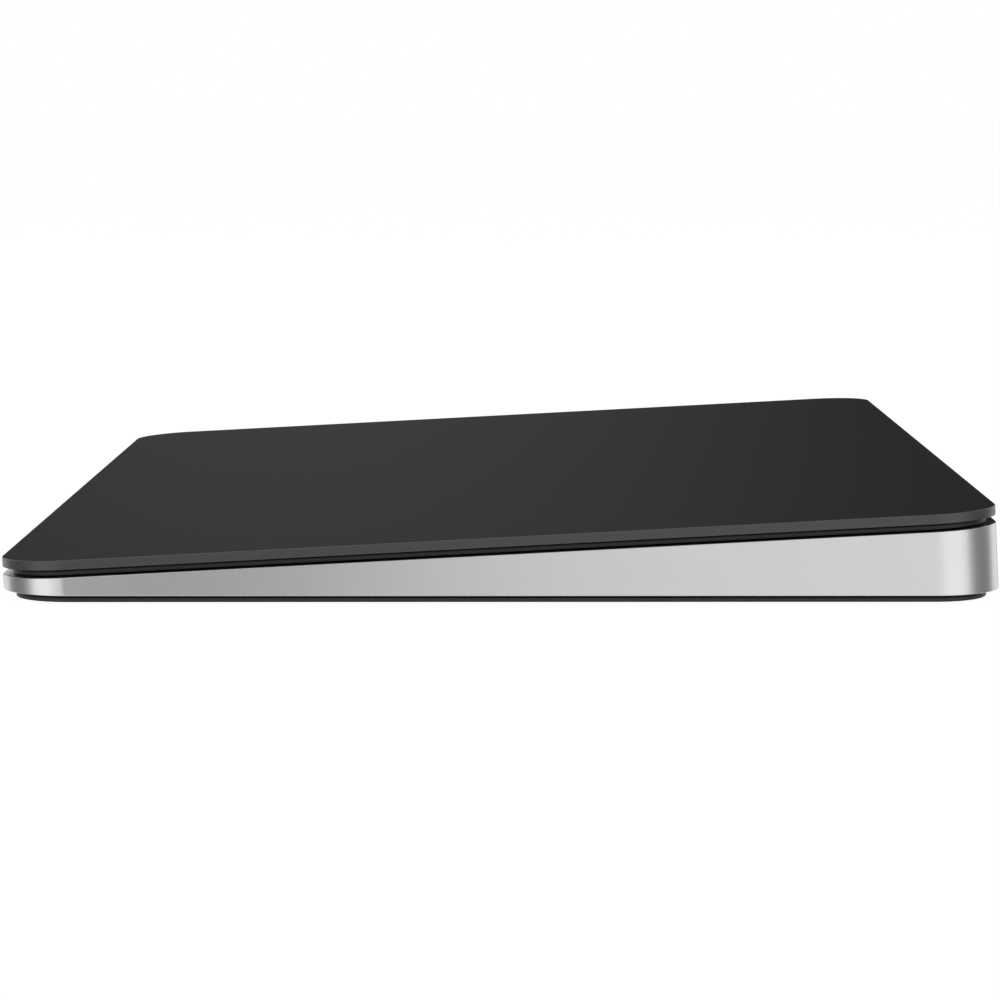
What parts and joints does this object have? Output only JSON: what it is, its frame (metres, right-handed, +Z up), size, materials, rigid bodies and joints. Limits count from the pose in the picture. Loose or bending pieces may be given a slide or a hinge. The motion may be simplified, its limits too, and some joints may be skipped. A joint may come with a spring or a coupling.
{
  "type": "trackpad",
  "caption": "Desk trackpad: a wedge-shaped aluminium shell under a leaning black glass touch plate on leaf springs, with a rear charging port and a sliding power switch.",
  "frame": {"origin": "on the desk, under the middle of the outline", "axes": "+X across the trackpad to the user's right, +Y from the thin front edge to the thick rear edge, +Z up"},
  "size_m": [0.16, 0.1148, 0.0109],
  "materials": {
    "shell_aluminium": "fine bead-blasted and clear anodised, with bright broken edges",
    "touch_glass": "black, satin etched, with a polished edge",
    "sensor_film": "black printed film",
    "carrier_plate": "black",
    "cover_plastic": "fine satin grain",
    "adhesive": "dull",
    "foot_rubber": "matt",
    "spring_steel": "rolled",
    "gel": "soft, translucent grey",
    "gauge_foil": "amber foil",
    "bracket_aluminium": "milled",
    "core_steel": "laminated, grey",
    "coil_copper": "enamelled copper wire",
    "screw_steel": "plain",
    "battery_pouch": "black laminated pouch",
    "circuit_board": "dark solder mask",
    "flex_cable": "amber polyimide",
    "shield_steel": "tinned",
    "chip": "moulded",
    "connector_plastic": "moulded",
    "antenna_plastic": "moulded, with a metal trace",
    "port_metal": "drawn and plated",
    "port_plastic": "moulded",
    "switch_plastic": "satin",
    "switch_mark": "green"
  },
  "bodies": {
    "base": {"antenna": "antenna_plastic", "battery_board": "circuit_board", "battery_cells": "battery_pouch", "battery_lead": "flex_cable", "battery_tape": "adhesive", "board_chips": "chip", "board_screws": "screw_steel", "board_shield_left": "shield_steel", "board_shield_right": "shield_steel", "bottom_cover": "cover_plastic", "cover_adhesive": "adhesive", "flexure_front_left": "spring_steel", "flexure_front_right": "spring_steel", "flexure_rear_left": "spring_steel", "flexure_rear_right": "spring_steel", "flexure_screws": "screw_steel", "foot_front_left": "foot_rubber", "foot_front_right": "foot_rubber", "foot_rear_left": "foot_rubber", "foot_rear_right": "foot_rubber", "haptic_bracket": "bracket_aluminium", "haptic_coils": "coil_copper", "haptic_core": "core_steel", "haptic_screws": "screw_steel", "main_board": "circuit_board", "port_board": "circuit_board", "port_flex": "flex_cable", "port_screws": "screw_steel", "sensor_connector": "connector_plastic", "sensor_tail": "flex_cable", "shell": "shell_aluminium", "strain_gauges": "gauge_foil", "switch_bezel": "switch_plastic", "switch_body": "connector_plastic", "switch_mark": "switch_mark", "usb_receptacle": "port_metal", "usb_tongue": "port_plastic"},
    "suspension": {"gel_pad_front_left": "gel", "gel_pad_front_right": "gel", "gel_pad_rear_left": "gel", "gel_pad_rear_right": "gel"},
    "touch_plate": {"touch_glass": "touch_glass", "sensor_film": "sensor_film", "carrier_plate": "carrier_plate", "haptic_armature": "core_steel"},
    "power_switch": {"switch_knob": "switch_plastic"}
  },
  "joints": [
    {"name": "press", "type": "slide", "parent": "base", "child": "suspension", "axis": [0, -0.0524, 0.9986], "range_m": [-0.00015, 0], "stiffness_N_per_m": 20000, "springref_m": 0.00006, "deforming": ["flexure_front_left", "flexure_front_right", "flexure_rear_left", "flexure_rear_right", "sensor_tail"]},
    {"name": "haptic_shift", "type": "slide", "parent": "suspension", "child": "touch_plate", "axis": [1, 0, 0], "range_m": [-0.0001, 0.0001], "stiffness_N_per_m": 20000},
    {"name": "switch_slide", "type": "slide", "parent": "base", "child": "power_switch", "axis": [1, 0, 0], "range_m": [0, 0.0023]}
  ]
}
